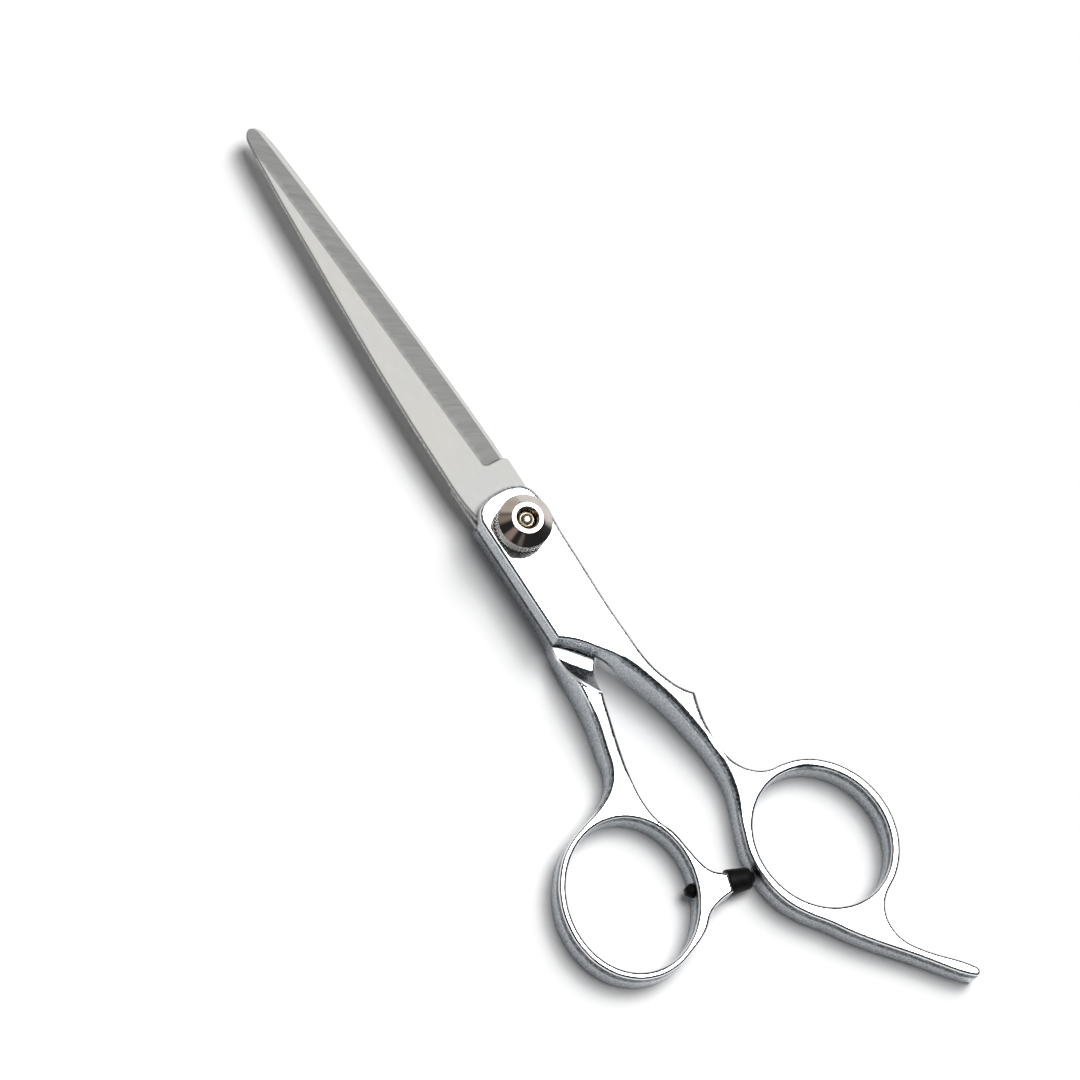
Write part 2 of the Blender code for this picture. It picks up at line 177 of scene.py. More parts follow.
def inside(points, loops):
    """Which points lie inside the first loop and outside the others."""
    hit = np.zeros(len(points), bool)
    for loop in loops:
        ax, ay = loop[:, 0], loop[:, 1]
        bx, by = np.roll(ax, -1), np.roll(ay, -1)
        px, py = points[:, :1], points[:, 1:]
        crosses = (ay > py) != (by > py)
        with np.errstate(divide="ignore", invalid="ignore"):
            at = ax + (py - ay) * (bx - ax) / (by - ay)
        hit ^= (crosses & (px < at)).sum(1) % 2 == 1
    return hit


def clearance(points, loops):
    """Distance from each point to the nearest loop point."""
    every = np.vstack(loops)
    return np.array([np.min(np.hypot(every[:, 0] - x, every[:, 1] - y)) for x, y in points])


def lattice(low, high, pitch):
    """A grid of points over a box, staggered so that their triangles are nearly equilateral."""
    rows = []
    for j, y in enumerate(np.arange(low[1], high[1], pitch * 0.87)):
        xs = np.arange(low[0] + (j % 2) * pitch / 2, high[0], pitch)
        rows.append(np.stack([xs, np.full(len(xs), y)], 1))
    return np.vstack(rows)


# ---------------- solids


class Solid:
    """Points and faces of a piece. Each point also says how rough its skin is and how much painted shade it
    carries.
    """

    def __init__(self):
        self.points, self.faces, self.skin, self.painted_shade = [], [], [], []

    def add(self, x, y, z, skin=0.0, painted_shade=0.0):
        """Adds a point and returns its number."""
        self.points.append((x, y, z))
        self.skin.append(skin)
        self.painted_shade.append(painted_shade)
        return len(self.points) - 1

    def add_row(self, places, heights, skins, painted_shades):
        """Adds a point at each place and returns their numbers."""
        return [self.add(*at, *rest) for at, *rest in zip(places, heights, skins, painted_shades)]

    def band(self, first, second):
        """Joins two closed rows of points with a strip of faces."""
        n = len(first)
        for i in range(n):
            j = (i + 1) % n
            self.faces.append((first[i], second[i], second[j], first[j]))

    def cap(self, rows, loops, height, upward, pitch, creases=(), patches=()):
        """Fills the space between closed rows with triangles whose inner points stand at height(x, y).

        loops are the same rows seen from above, the outermost first. Triangle edges follow each crease, which
        is a line of (x, y) points. Each patch is a box with a finer pitch: low corner, high corner, pitch.
        """
        coords = [p for loop in loops for p in loop]
        known = [i for row in rows for i in row]
        edges, start = [], 0
        for loop in loops:
            n = len(loop)
            edges += [(start + i, start + (i + 1) % n) for i in range(n)]
            start += n
        keep_off = list(loops)
        for line in creases:
            line = np.array(line)
            ok = inside(line, loops) & (clearance(line, loops) > LEDGE)
            index = {}
            for i in np.flatnonzero(ok):
                index[i] = len(coords)
                coords.append(line[i])
            edges += [(index[i], index[i + 1]) for i in index if i + 1 in index]
            if ok.any():
                keep_off.append(line[ok])
        grid = lattice(loops[0].min(0), loops[0].max(0), pitch)
        for low, high, _ in patches:
            within = ((grid > np.array(low)) & (grid < np.array(high))).all(1)
            grid = grid[~within]
        for points, gap in [(grid, pitch), *((lattice(*patch), patch[2]) for patch in patches)]:
            points = points[inside(points, loops)]
            if len(points):
                coords += list(points[clearance(points, keep_off) > gap * KEEP_OFF])
        coords = [Vector(c) for c in coords]
        flat, _, triangles, origin, *_ = geometry.delaunay_2d_cdt(coords, edges, [], 0, 1e-6)
        flat = np.array([v[:] for v in flat])
        corner = flat[np.array(triangles)]
        ax, ay = (corner[:, 1] - corner[:, 0]).T
        bx, by = (corner[:, 2] - corner[:, 0]).T
        wanted = inside(corner.mean(1), loops) & (abs(ax * by - ay * bx) > SLIVER)
        index = {}
        for triangle in np.array(triangles)[wanted]:
            for i in triangle:
                if i not in index:
                    ring = [o for o in origin[i] if o < len(known)]
                    index[i] = known[ring[0]] if ring else self.add(*flat[i], height(*flat[i]))
            corners = [index[i] for i in triangle]
            self.faces.append(tuple(corners if upward else reversed(corners)))

    def mesh(self, name):
        """The solid as a mesh, in metres, with its skin and its painted shade as attributes."""
        mesh = bpy.data.meshes.new(name)
        mesh.from_pydata([(x * MM, y * MM, z * MM) for x, y, z in self.points], [], self.faces)
        for label, values in (("skin", self.skin), ("painted_shade", self.painted_shade)):
            attribute = mesh.attributes.new(label, "FLOAT", "POINT")
            attribute.data.foreach_set("value", np.array(values, np.float32))
        mesh.validate()
        mesh.update()
        return mesh


# Rows of points down a wall, from its rim to the rim at its foot
UNDER_RIM = [(0.1, None), (0.2, 1)]  # fall, share of the band's painted shade, or None for the painted dark line under the rim
IN_BAND = [(0.75, 0.9), (1, 0.3), (1.3, 0)]  # fall as a share of the band's depth, share of its painted shade
ABOVE_FOOT = [(0.95, 0), (0.65, 0.9), (0.15, 1)]  # height over the foot's rim, share of the painted shadow at the foot
MEETING = 0.3  # on a low wall, the rows from above and below meet at this share of its height
# How the wall's skin begins on a rim, as shares of the way down it, and the radii between which a rim is both
NARROW = (0.72, 1.0)
WIDE = (0.05, 0.3)
WIDE_RADII = (0.45, 0.8)


def rounded_slab(loops, top, bottom, rim, under_rim, painted_shade, rough_walls=1.0, pitch=PITCH, **extra):
    """A flat piece between two heights with rounded rims.

    rim and under_rim give a radius at (x, y, outward direction). painted_shade gives the painted shade on the
    rim there, the painted dark line under it, the painted dark band below that and the painted shadow at the
    foot of the wall, and how deep the band is. A narrow rim gets the wall's skin only at its lower edge, and
    a wide one nearly from its crown.
    """
    solid = Solid()
    loops = [wound(loop, i == 0) for i, loop in enumerate(loops)]
    tops, unders, top_loops, under_loops = [], [], [], []
    for loop in loops:
        step = inward(loop)
        rims = np.array([rim(*p, -s) for p, s in zip(loop, step)])
        under_rims = np.array([under_rim(*p, -s) for p, s in zip(loop, step)])
        # Painted shade: dark rim, line and band for dark reflections, and a shadow at the wall's foot
        crown, line, belt, foot, deep = np.array([painted_shade(*p, -s) for p, s in zip(loop, step)]).T
        rough = np.full(len(loop), rough_walls)
        high = np.array([top(*p) for p in loop]) - rims
        low = np.array([bottom(*p) for p in loop]) + under_rims
        meeting = low + (high - low) * MEETING
        wideness = np.array([ease(radius, *WIDE_RADII) for radius in rims])
        inner = loop + step * (rims + LEDGE)[:, None]
        rows = [[solid.add(x, y, top(x, y)) for x, y in inner]]
        for j in range(ARC_STEPS + 1):
            a = math.pi / 2 * (1 - j / ARC_STEPS)
            at = loop + step * (rims * (1 - math.cos(a)))[:, None]
            heights = np.array([top(x, y) for x, y in at]) - rims * (1 - math.sin(a))
            narrow = ease(j / ARC_STEPS, *NARROW)
            wide = ease(j / ARC_STEPS, *WIDE)
            skins = rough * (narrow + (wide - narrow) * wideness)
            painted_shades = line * narrow + (belt * wide - line * narrow) * wideness
            rows.append(solid.add_row(at, heights, skins, np.maximum(crown, painted_shades)))
        for fall, share in UNDER_RIM:
            painted_shades = np.maximum(crown, line if share is None else belt * share)
            rows.append(solid.add_row(loop, np.maximum(high - fall, meeting), rough, painted_shades))
        for fall, share in IN_BAND:
            rows.append(solid.add_row(loop, np.maximum(high - deep * fall, meeting), rough, belt * share))
        for lift, share in ABOVE_FOOT:
            rows.append(solid.add_row(loop, np.minimum(low + lift, meeting), rough, foot * share))
        for j in range(ARC_STEPS + 1):
            a = math.pi / 2 * j / ARC_STEPS
            at = loop + step * (under_rims * (1 - math.cos(a)))[:, None]
            heights = np.array([bottom(x, y) for x, y in at]) + under_rims * (1 - math.sin(a))
            rows.append(solid.add_row(at, heights, rough, foot))
        beneath = loop + step * (under_rims + LEDGE)[:, None]
        rows.append(solid.add_row(beneath, [bottom(x, y) for x, y in beneath], rough, foot * 0))
        for first, second in zip(rows[:-1], rows[1:]):
            solid.band(first, second)
        tops.append(rows[0])
        unders.append(rows[-1])
        top_loops.append(inner)
        under_loops.append(beneath)
    solid.cap(tops, top_loops, top, True, pitch, **extra)
    solid.cap(unders, under_loops, bottom, False, pitch * 1.5)
    return solid


def piece(name, solid, body, replaced, mat, sharp=40, placed=None):
    """Puts a solid in the scene instead of the CAD nodes it stands for. placed is a matrix that moves it."""
    mesh = solid.mesh(name)
    if placed:
        mesh.transform(placed)
    work = bmesh.new()
    work.from_mesh(mesh)
    bmesh.ops.remove_doubles(work, verts=work.verts, dist=WELD * MM)
    bmesh.ops.recalc_face_normals(work, faces=work.faces)
    work.to_mesh(mesh)
    work.free()
    finish(mesh, mat, sharp)
    obj = add_object(name, mesh)
    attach(obj, body)
    if replaced:
        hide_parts(*replaced)


def finish(mesh, mat, sharp):
    """Gives a mesh its material, and smooth shading except at edges of more than sharp degrees."""
    mesh.materials.clear()
    mesh.materials.append(mat)
    mesh.shade_smooth()
    mesh.set_sharp_from_angle(angle=math.radians(sharp))


def lathe(profile, segments, warp=None):
    """A turned solid. Its (radius, height) pairs run from the top down the outside, and back up any bore.

    warp gives a point's new radius and height from its radius, height and angle.
    """
    solid = Solid()
    rows = []
    for r, z in profile:
        if r < 1e-6:
            rows.append([solid.add(0, 0, z)])
            continue
        row = []
        for i in range(segments):
            a = math.tau * i / segments
            out, up = warp(r, z, a) if warp else (r, z)
            row.append(solid.add(out * math.cos(a), out * math.sin(a), up))
        rows.append(row)
    pairs = list(zip(rows[:-1], rows[1:]))
    if profile[0][0] > 1e-6:
        pairs.append((rows[-1], rows[0]))
    for first, second in pairs:
        if len(first) == 1:
            solid.faces += [(first[0], second[i], second[(i + 1) % segments]) for i in range(segments)]
        elif len(second) == 1:
            solid.faces += [(first[i], second[0], first[(i + 1) % segments]) for i in range(segments)]
        else:
            solid.band(first, second)
    return solid


# ---------------- materials


def add_ramp(tree, source, stops):
    """A colour ramp on a source. Each stop is a place and a colour or a grey."""
    made = tree.nodes.new("ShaderNodeValToRGB")
    elements = made.color_ramp.elements
    while len(elements) < len(stops):
        elements.new(0.5)
    for element, (at, value) in zip(elements, stops):
        element.position = at
        element.color = (*value, 1) if isinstance(value, tuple) else (value, value, value, 1)
    tree.links.new(source, made.inputs["Fac"])
    return made.outputs["Color"]


def enabled(sockets, name):
    """The socket of this name that a Mix node shows in its present mode."""
    return [s for s in sockets if s.name == name and s.enabled][0]


class Look:
    """A Principled material and the few node chains that the pieces share."""

    def __init__(self, name, colour, roughness, metallic):
        self.mat = bpy.data.materials.new(name)
        self.mat.use_nodes = True
        self.tree = self.mat.node_tree
        self.shader = self.tree.nodes["Principled BSDF"]
        base = (*colour, 1)
        for socket, value in (("Base Color", base), ("Roughness", roughness), ("Metallic", metallic)):
            self.shader.inputs[socket].default_value = value
        self.mat.diffuse_color = base
        self.coord = self.tree.nodes.new("ShaderNodeTexCoord").outputs["Object"]

    def node(self, kind, **settings):
        made = self.tree.nodes.new(kind)
        for key, value in settings.items():
            setattr(made, key, value)
        return made

    def link(self, a, b):
        self.tree.links.new(a, b)

    def stretched(self, scale, turn=0.0):
        """Object coordinates in millimetres, turned about Z and then scaled along each axis."""
        spin = self.node("ShaderNodeMapping", vector_type="POINT")
        spin.inputs["Rotation"].default_value = (0, 0, math.radians(turn))
        spin.inputs["Scale"].default_value = (1 / MM,) * 3
        self.link(self.coord, spin.inputs["Vector"])
        size = self.node("ShaderNodeMapping", vector_type="POINT")
        size.inputs["Scale"].default_value = scale
        self.link(spin.outputs["Vector"], size.inputs["Vector"])
        return size.outputs["Vector"]

    def bowed(self, scale, turn, bow):
        """Like stretched, with Y bent into arcs that rise by bow times X squared."""
        parts = self.node("ShaderNodeSeparateXYZ")
        self.link(self.stretched((1, 1, 1), turn), parts.inputs["Vector"])
        x, y, z = (parts.outputs[axis] for axis in "XYZ")
        bent = self.math("ADD", y, self.math("MULTIPLY", self.math("MULTIPLY", x, x), bow))
        joined = self.node("ShaderNodeCombineXYZ")
        for socket, value, size in zip(joined.inputs, (x, bent, z), scale):
            self.link(self.math("MULTIPLY", value, size), socket)
        return joined.outputs["Vector"]

    def noise(self, scale, detail=4.0, roughness=0.55, turn=0.0, bow=0.0):
        """Noise whose cells per millimetre along X, Y and Z are given."""
        made = self.node("ShaderNodeTexNoise")
        for socket, value in (("Scale", 1), ("Detail", detail), ("Roughness", roughness)):
            made.inputs[socket].default_value = value
        where = self.bowed(scale, turn, bow) if bow else self.stretched(scale, turn)
        self.link(where, made.inputs["Vector"])
        return made.outputs["Fac"]

    def ramp(self, source, stops):
        return add_ramp(self.tree, source, stops)

    def math(self, operation, a, b=0):
        made = self.node("ShaderNodeMath", operation=operation)
        for socket, value in zip(made.inputs, (a, b)):
            if isinstance(value, (int, float)):
                socket.default_value = value
            else:
                self.link(value, socket)
        return made.outputs["Value"]

    def scaled(self, source, gain, base):
        return self.math("ADD", self.math("MULTIPLY", source, gain), base)

    def mix(self, share, a, b):
        made = self.node("ShaderNodeMix", data_type="RGBA")
        for name, value in (("Factor", share), ("A", a), ("B", b)):
            socket = enabled(made.inputs, name)
            if isinstance(value, tuple):
                socket.default_value = (*value, 1)
            elif isinstance(value, (int, float)):
                socket.default_value = value if name == "Factor" else (value, value, value, 1)
            else:
                self.link(value, socket)
        return enabled(made.outputs, "Result")

    def attribute(self, name):
        return self.node("ShaderNodeAttribute", attribute_name=name).outputs["Fac"]

    def bump(self, height, distance, strength=1.0, under=None):
        """Relief of this many millimetres."""
        made = self.node("ShaderNodeBump")
        made.inputs["Distance"].default_value = distance * MM
        made.inputs["Strength"].default_value = strength
        self.link(height, made.inputs["Height"])
        if under is not None:
            self.link(under, made.inputs["Normal"])
        return made.outputs["Normal"]

    def use(self, socket, source):
        self.link(source, self.shader.inputs[socket])


# Colour of the painted shade in seams, on rims and walls, and in the hollow
PAINTED_SHADE_COLOUR = (0.035, 0.040, 0.045)


def plated_casting(tint):
    """Bright plating: polished faces, a fine cast skin where skin is 1, and nearly black painted shade where
    painted_shade is 1.
    """
    look = Look("plated_casting", tint, 0.1, 1)
    skin = look.attribute("skin")
    painted_shade = look.attribute("painted_shade")
    grain = look.noise((2.6, 2.6, 2.6), 5, 0.7)
    pits = look.noise((3.4, 3.4, 3.4), 5, 0.75)
    cloud = look.noise((0.12, 0.12, 0.12), 3, 0.5)
    scratches = look.ramp(look.noise((0.25, 9, 0.25), 3, 0.6, turn=24), [(0.47, 0.0), (0.72, 1.0)])
    tones = [(0.4, (0.40, 0.425, 0.45)), (0.5, (0.62, 0.655, 0.69)), (0.6, (0.82, 0.86, 0.90))]
    speck = look.ramp(pits, tones)
    pale = tuple(c * 1.03 for c in tint)
    face = look.mix(look.ramp(cloud, [(0.3, 0.0), (0.7, 1.0)]), tint, pale)
    metal = look.mix(skin, face, speck)
    # Painted shade: the base colour goes towards that colour where painted_shade is 1, broken up by noise
    blotch = look.noise((1.9, 1.9, 1.9), 5, 0.75)
    spread = look.math("MULTIPLY", look.math("SUBTRACT", blotch, 0.5), 3.2)
    shade_share = look.math("ADD", painted_shade, look.math("MULTIPLY", spread, painted_shade))
    shade_share = look.ramp(shade_share, [(0.1, 0.0), (0.85, 1.0)])
    look.use("Base Color", look.mix(shade_share, metal, PAINTED_SHADE_COLOUR))
    polished = look.scaled(scratches, 0.05, 0.07)
    rough = look.scaled(grain, 0.25, 0.16)
    look.use("Roughness", look.mix(skin, polished, rough))
    relief = look.math("MULTIPLY", look.math("ADD", grain, look.math("MULTIPLY", pits, 0.5)), skin)
    base = look.bump(scratches, 0.0004)
    look.use("Normal", look.bump(relief, 0.05, 1.0, base))
    return look.mat


def ground_steel(tint):
    """Stainless blade: satin flat face, and cross-wise grinding lines where skin is 1, on the bevel."""
    look = Look("ground_steel", tint, 0.7, 1)
    bevel = look.attribute("skin")
    painted_shade = look.attribute("painted_shade")
    lines = look.noise((0.3, 6.0, 0.3), 4, 0.7, turn=-8, bow=0.045)
    coarse = look.noise((0.05, 0.75, 0.05), 2, 0.5, turn=-8, bow=0.045)
    satin = look.noise((5.0, 0.5, 5.0), 3, 0.6)
    cloud = look.noise((0.16, 0.08, 0.2), 3, 0.5)
    warm = tuple(c * k for c, k in zip(tint, (1.03, 1.015, 0.985)))
    face = look.mix(look.ramp(cloud, [(0.35, 0.0), (0.65, 1.0)]), tint, warm)
    marks = look.math("ADD", look.math("MULTIPLY", lines, 0.7), look.math("MULTIPLY", coarse, 0.3))
    streak = look.ramp(marks, [(at, tuple(c * k for c in tint)) for at, k in ((0.35, 0.64), (0.65, 0.90))])
    unshaded_steel = look.mix(bevel, face, streak)
    # Painted shade: the walls and a line at the bevel's foot go nearly black where painted_shade is 1
    look.use("Base Color", look.mix(painted_shade, unshaded_steel, (0.06, 0.055, 0.05)))
    fine = look.scaled(satin, 0.08, 0.66)
    rough = look.scaled(lines, 0.2, 0.58)
    look.use("Roughness", look.mix(bevel, fine, rough))
    brushed = look.bump(satin, 0.002)
    look.use("Normal", look.bump(look.math("MULTIPLY", lines, bevel), 0.02, 1.0, brushed))
    return look.mat


def dark_nickel():
    """Polished warm nickel with faint turning rings, duller in the knurl."""
    look = Look("dark_nickel", (0.6, 0.56, 0.52), 0.12, 1)
    parts = look.node("ShaderNodeSeparateXYZ")
    look.link(look.stretched((1, 1, 1)), parts.inputs["Vector"])
    squares = [look.math("MULTIPLY", parts.outputs[axis], parts.outputs[axis]) for axis in ("X", "Y")]
    radius = look.math("SQRT", look.math("ADD", *squares))
    rings = look.math("SINE", look.math("MULTIPLY", radius, 95))
    knurl = look.attribute("skin")
    painted_shade = look.attribute("painted_shade")
    cloud = look.noise((0.5, 0.5, 0.5), 3)
    tone = look.ramp(cloud, [(0.3, (0.55, 0.50, 0.455)), (0.7, (0.64, 0.59, 0.545))])
    metal = look.mix(knurl, tone, (0.52, 0.51, 0.49))
    # Painted shade: the knurl's grooves go nearly black where painted_shade is 1
    look.use("Base Color", look.mix(painted_shade, metal, (0.03, 0.03, 0.03)))
    look.use("Roughness", look.mix(knurl, look.scaled(cloud, 0.1, 0.05), 0.2))
    look.use("Normal", look.bump(rings, 0.0006, 0.6))
    return look.mat


def grained(name, colour, roughness, metallic, cells, tones, gloss):
    """A material with one grain, which sets its tone, its roughness (gain and base) and a slight relief."""
    look = Look(name, colour, roughness, metallic)
    grain = look.noise(cells, 4, 0.6)
    look.use("Base Color", look.ramp(grain, tones))
    look.use("Roughness", look.scaled(grain, *gloss))
    look.use("Normal", look.bump(grain, 0.01))
    return look.mat


def satin_plating():
    """Plating on a ridge that polishing leaves brushed, so it stays light at any slope."""
    tones = [(0.35, (0.92, 0.93, 0.94)), (0.65, (0.98, 0.98, 0.985))]
    return grained("satin_plating", (0.95, 0.96, 0.97), 0.5, 1, (4, 4, 4), tones, (0.15, 0.45))


def stud_metal():
    """Nickel brass with a little tarnish."""
    look = Look("stud_metal", (0.72, 0.69, 0.55), 0.22, 1)
    cloud = look.noise((1.6, 1.6, 1.6), 4, 0.6)
    fine = look.noise((9, 9, 9), 3, 0.6)
    look.use("Base Color", look.ramp(cloud, [(0.35, (0.52, 0.47, 0.34)), (0.6, (0.80, 0.78, 0.66))]))
    look.use("Roughness", look.scaled(fine, 0.25, 0.12))
    look.use("Normal", look.bump(cloud, 0.05, 0.8))
    return look.mat


def spring_steel():
    """Rolled steel with a lengthwise grain."""
    tones = [(0.3, (0.38, 0.38, 0.37)), (0.7, (0.50, 0.50, 0.49))]
    return grained("spring_steel", (0.45, 0.45, 0.44), 0.35, 1, (6, 1.2, 6), tones, (0.2, 0.25))


def nylon():
    """Off-white plastic with a fine grain."""
    tones = [(0.3, (0.76, 0.75, 0.69)), (0.7, (0.86, 0.85, 0.81))]
    return grained("nylon", (0.82, 0.81, 0.76), 0.5, 0, (4, 4, 4), tones, (0.2, 0.4))


def black_rubber():
    """Moulded rubber: nearly black, matt, with a faint grain and a paler bloom."""
    look = Look("black_rubber", (0.004, 0.004, 0.004), 0.5, 0)
    look.shader.inputs["Specular IOR Level"].default_value = 0.14
    grain = look.noise((5, 5, 5), 5, 0.6)
    bloom = look.noise((0.7, 0.7, 0.7), 3, 0.5)
    look.use("Base Color", look.ramp(bloom, [(0.35, (0.002, 0.002, 0.002)), (0.75, (0.006, 0.006, 0.006))]))
    look.use("Roughness", look.scaled(grain, 0.25, 0.4))
    look.use("Normal", look.bump(grain, 0.02, 0.7))
    return look.mat


PLATING = plated_casting((0.90, 0.915, 0.93))
STEEL = ground_steel((0.64, 0.64, 0.63))
NICKEL = dark_nickel()
SATIN = satin_plating()
STUD = stud_metal()
SPRING = spring_steel()
NYLON = nylon()
RUBBER = black_rubber()

# ---------------- blades

SHOULDER_Y = 4.2
TANG_END_Y = -14.0
# A blade's outline is a spine, TIP, EDGE, a ricasso, TANG and HEEL, in turn
SPINE = [(-4.72, 8.5), (-4.8, 16), (-4.62, 28), (-4.05, 41), (-3.25, 55), (-2.4, 68.5), (-1.75, 74.6)]
LOWER_SPINE = [(-4.72, 8.5), (-5.12, 11.5), (-5.1, 18), (-4.7, 28)] + SPINE[3:]
TIP = [(-1.3, 76.3), (-0.35, 77.1), (0.55, 76.5)]
EDGE = [(0.9, 74.8), (1.42, 69.5), (2.42, 57), (3.55, 42), (4.4, 27), (4.83, 14)]
RICASSO = [(4.84, 11.4, 1), (5.42, 10.7, 1), (5.42, SHOULDER_Y, 1), (3.9, SHOULDER_Y, 1)]
LOWER_RICASSO = [(4.85, 10.9, 1), (4.75, SHOULDER_Y, 1), (3.9, SHOULDER_Y, 1)]
TANG = [(3.9, TANG_END_Y + 1.2, 1), (2.7, TANG_END_Y, 1)]
TANG += [(-2.5, TANG_END_Y, 1), (-3.7, TANG_END_Y + 1.2, 1)]
HEEL = [(-3.7, SHOULDER_Y + 0.15, 1), (-4.3, SHOULDER_Y + 1.1, 1)]
BLADE_SPACING = 0.22
BLADE_PITCH = 0.9
# Painted shade on a blade's walls: rim, line under it, band, foot, and the band's depth
BLADE_PAINTED_SHADE = (0, 0.5, 0.62, 0.62, 0.5)
BLADE_AXIS_X = 0.25
LOWER_TURN = 0.35  # degrees by which the lower blade stands off the upper one's line
BEVEL_START = 11.3
BEVEL_SLOPE = 0.34
BEVEL_PATCH = ((1, 9.6), (6, 12.8), 0.25)  # finer mesh where the bevel starts
RIDGE_X = 1.25  # where the line between flat face and bevel begins
RIDGE_DRIFT = 0.0545  # its slant towards the spine
TAPER = 0.0065  # loss of thickness towards the tip
RUNOUT = 0.3  # length of the curved wall where the grinding wheel lifted off
CORNER = 0.85  # width of the rounded corner between that wall and the ridge
FOOT_SHADE_WIDTH = 0.35  # width of the painted shadow line at the foot of that wall
BEYOND_X, BEYOND_Y = 5.6, 78  # just outside the edge and the tip


def flat_top(y):
    """Height of a blade's flat face."""
    return BLADE_TOP - TAPER * max(0, y - BEVEL_START)


def ridge(y):
    """X of the line between the flat face and the bevel."""
    return RIDGE_X - RIDGE_DRIFT * (y - BEVEL_START)


def bevel_end(x):
    """Y where the bevel stops towards the pivot: nearly straight across, and rounded into the ridge."""
    corner = max(0, RIDGE_X + CORNER - x)
    return BEVEL_START + 0.12 - 0.03 * (x - RIDGE_X) + 0.75 * corner * corner


def blade_top(x, y):
    flat = flat_top(y)
    if x <= ridge(y):
        return flat
    ground = flat - BEVEL_SLOPE * (x - ridge(y))
    t = min(1, max(0, (y - bevel_end(x)) / RUNOUT))
    return flat + (ground - flat) * t


def blade_rim(x, y, side):
    """Sharp along the edge and at the tang, and eased elsewhere."""
    return 0.05 if y < SHOULDER_Y + 0.1 or side[0] > 0.3 else 0.12


def blade_solid(spine, ricasso):
    """A blade, ground side up. Its skin value is 1 on the ground bevel and 0 elsewhere."""
    outline = trace(spine + TIP + EDGE + ricasso + TANG + HEEL, BLADE_SPACING)
    crest = [(ridge(y), y) for y in np.arange(BEVEL_START + 0.75, BEYOND_Y, 0.6)]
    xs = np.linspace(RIDGE_X + 0.02, BEYOND_X, 14)
    start = [(x, bevel_end(x)) for x in xs]
    foot = [(x, bevel_end(x) + RUNOUT) for x in xs]
    foot_shade_line = [(x, bevel_end(x) + RUNOUT + FOOT_SHADE_WIDTH) for x in xs[1:]]
    solid = rounded_slab(
        [outline, bore()],
        blade_top,
        lambda x, y: BLADE_UNDER,
        blade_rim,
        lambda x, y, side: 0.04,
        lambda x, y, side: BLADE_PAINTED_SHADE,
        rough_walls=0.0,
        pitch=BLADE_PITCH,
        creases=[crest, start, foot, foot_shade_line],
        patches=[BEVEL_PATCH],
    )
    for i, (x, y, z) in enumerate(solid.points):
        on_bevel = x > ridge(y) + 0.01 and y > bevel_end(x) - 0.01 and z > BLADE_UNDER + 0.02
        solid.skin[i] = 1.0 if on_bevel else 0.0
        # A painted shadow line along the foot of the wall where the wheel lifted off
        if on_bevel and abs(y - bevel_end(x) - RUNOUT) < 0.05:
            solid.painted_shade[i] = 0.85 * ease(x, 2.0, 3.6)
    return solid


def turned_over():
    """Turns an upper blade over about a line in the parting plane, which makes it the lower blade."""
    up = Matrix.Translation((BLADE_AXIS_X * MM, 0, PARTING * MM))
    over = up @ Matrix.Rotation(math.pi, 4, "Y") @ up.inverted()
    return Matrix.Rotation(math.radians(LOWER_TURN), 4, "Z") @ over


upper = blade_solid(SPINE, RICASSO)
lower = blade_solid(LOWER_SPINE, LOWER_RICASSO)
piece("upper_blade_ground", upper, "upper", ["upper_blade"], STEEL, 11)
piece("lower_blade_ground", lower, "lower", ["lower_blade"], STEEL, 11, turned_over())

# ---------------- upper handle

REST_TIP_TOP = 5.0  # height of the end of the finger rest
# Each ring: centre of the hole, its radii, their turn in degrees, width of the ring around it
UPPER_RING = ((15.45, -65.25), (11.7, 10.6), 99.3, 1.5)
LOWER_RING = ((-16.3, -57.95), (12.4, 10.5), 64.8, 1.2)
UPPER_OUTLINE = [
    (-5.1, 3.7, 1), (-4.4, 5.2), (-2.9, 6.3), (-0.2, 6.85), (2.9, 6.4), (4.6, 5.3), (5.45, 3.3),
    (5.5, -5), (5.5, -22.5), (6.1, -28.8), (7.4, -32.3), (8.7, -34.5), (10.0, -35.9, 1),
    (9.35, -38.4), (8.95, -41.7), (9.05, -45.2), (10.0, -48.4), (11.8, -50.7), (14.1, -51.9),
    *oval(UPPER_RING, UPPER_RING[3], -14, -152, 9),
    (18.7, -78.7), (17.5, -80.6), (17.1, -82.9), (17.6, -85.4), (19.2, -87.9), (25.1, -94.3),
    (25.7, -95.5), (25.1, -96.2), (24.1, -95.7), (18.1, -88.9), (11.2, -80.9), (8.9, -77.6), (6.1, -74.0),
    (4.3, -70.6), (3.45, -66.4), (3.6, -62.0), (4.85, -58.1), (7.2, -52.1), (7.8, -48.8), (7.7, -44.9),
    (7.0, -40.3), (5.95, -35.5), (4.4, -30.9), (2.8, -27.0), (1.4, -24.6), (-0.2, -22.6), (-2.2, -20.2),
    (-3.7, -18.9), (-5.0, -18.0, 1),
]

# Stretches of the handles, as distances from the pivot along -Y
ARM_DROP = (22, 58)  # the arm comes down from the plate's height to the ring's
REST_DROP = (80, 96)  # the finger rest comes down to its tip
PLATE_RUNOUT = (22.5, 29)  # the underside goes down from the plate to the neck
NECK_RUNOUT = (29, 50)  # and on to the surface that the shears lie on
UPPER_NECK = (25.4, 25.9)  # where the neck's wide rim and the painted dark band on its wall begin

NECK_UNDER = 0.9  # heights of the underside
REST_TIP_UNDER = 0.5
UPPER_STEP = (SHOULDER_Y - 0.45, SHOULDER_Y - 0.25)  # where the plate lies over the blade's shoulder
STEP_GAP = 0.05
BORE_RIM = 0.1
NO_PAINTED_SHADE = (0, 0, 0, 0, 1)  # no painted shade
SOFT_SIDE = Vector((0.93, 0.37))  # the side where the moulds left a softer rim


